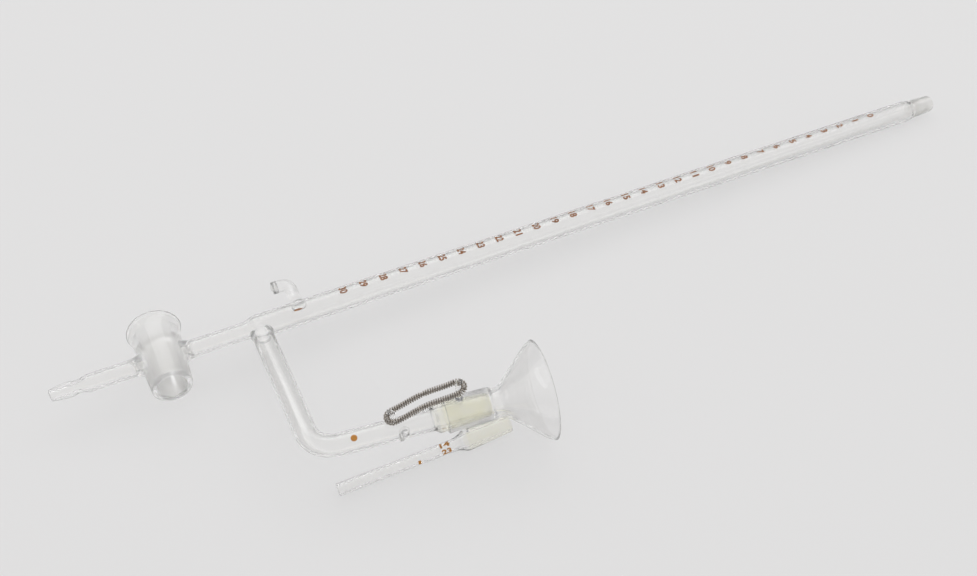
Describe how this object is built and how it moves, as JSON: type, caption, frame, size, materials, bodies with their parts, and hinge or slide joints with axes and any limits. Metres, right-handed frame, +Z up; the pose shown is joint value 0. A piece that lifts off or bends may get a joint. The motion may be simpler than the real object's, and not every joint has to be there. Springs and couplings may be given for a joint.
{
  "type": "burette",
  "caption": "Side-filling glass burette lying flat, with an empty stopcock barrel, a side arm, a spring-held filling funnel on a ground joint and a loose stemmed cone.",
  "frame": {"origin": "middle of the whole, on the surface that the glass lies on", "axes": "+X along the graduated tube towards its open top, +Y away from the side arm, +Z up"},
  "size_m": [0.5478, 0.1572, 0.0514],
  "materials": {
    "clear_glass": "clear, fire-polished",
    "ground_glass": "ground, faintly yellow",
    "spring_steel": "bright drawn wire"
  },
  "bodies": {
    "burette": {"ground_mouth": "ground_glass", "graduated_tube": "clear_glass", "t_piece": "clear_glass", "link_tube": "clear_glass", "barrel_collar_upper": "clear_glass", "stopcock_barrel": "clear_glass", "barrel_collar_lower": "clear_glass", "outlet_tube": "clear_glass", "outlet_tip": "clear_glass", "tube_hook": "clear_glass", "arm_drop": "clear_glass", "arm_elbow": "clear_glass", "arm_run": "clear_glass", "arm_cone": "ground_glass", "arm_hook_far": "clear_glass", "arm_hook_near": "clear_glass", "retaining_spring": "spring_steel"},
    "funnel": {"funnel_socket": "ground_glass", "funnel_neck": "clear_glass", "funnel_bowl": "clear_glass", "funnel_hook_far": "clear_glass", "funnel_hook_near": "clear_glass"},
    "adaptor": {"adaptor_stem": "clear_glass", "adaptor_shoulder": "clear_glass", "adaptor_cone": "ground_glass"}
  },
  "joints": [
    {"name": "funnel_pull", "type": "slide", "parent": "burette", "child": "funnel", "axis": [0.993, -0.1176, -0.0074], "range_m": [0, 0.03], "stiffness_N_per_m": 80, "springref_m": -0.02, "deforming": ["retaining_spring"]},
    {"name": "adaptor_draw", "type": "slide", "parent": "burette", "child": "adaptor", "axis": [0, -1, 0], "range_m": [0, 0.06]}
  ]
}
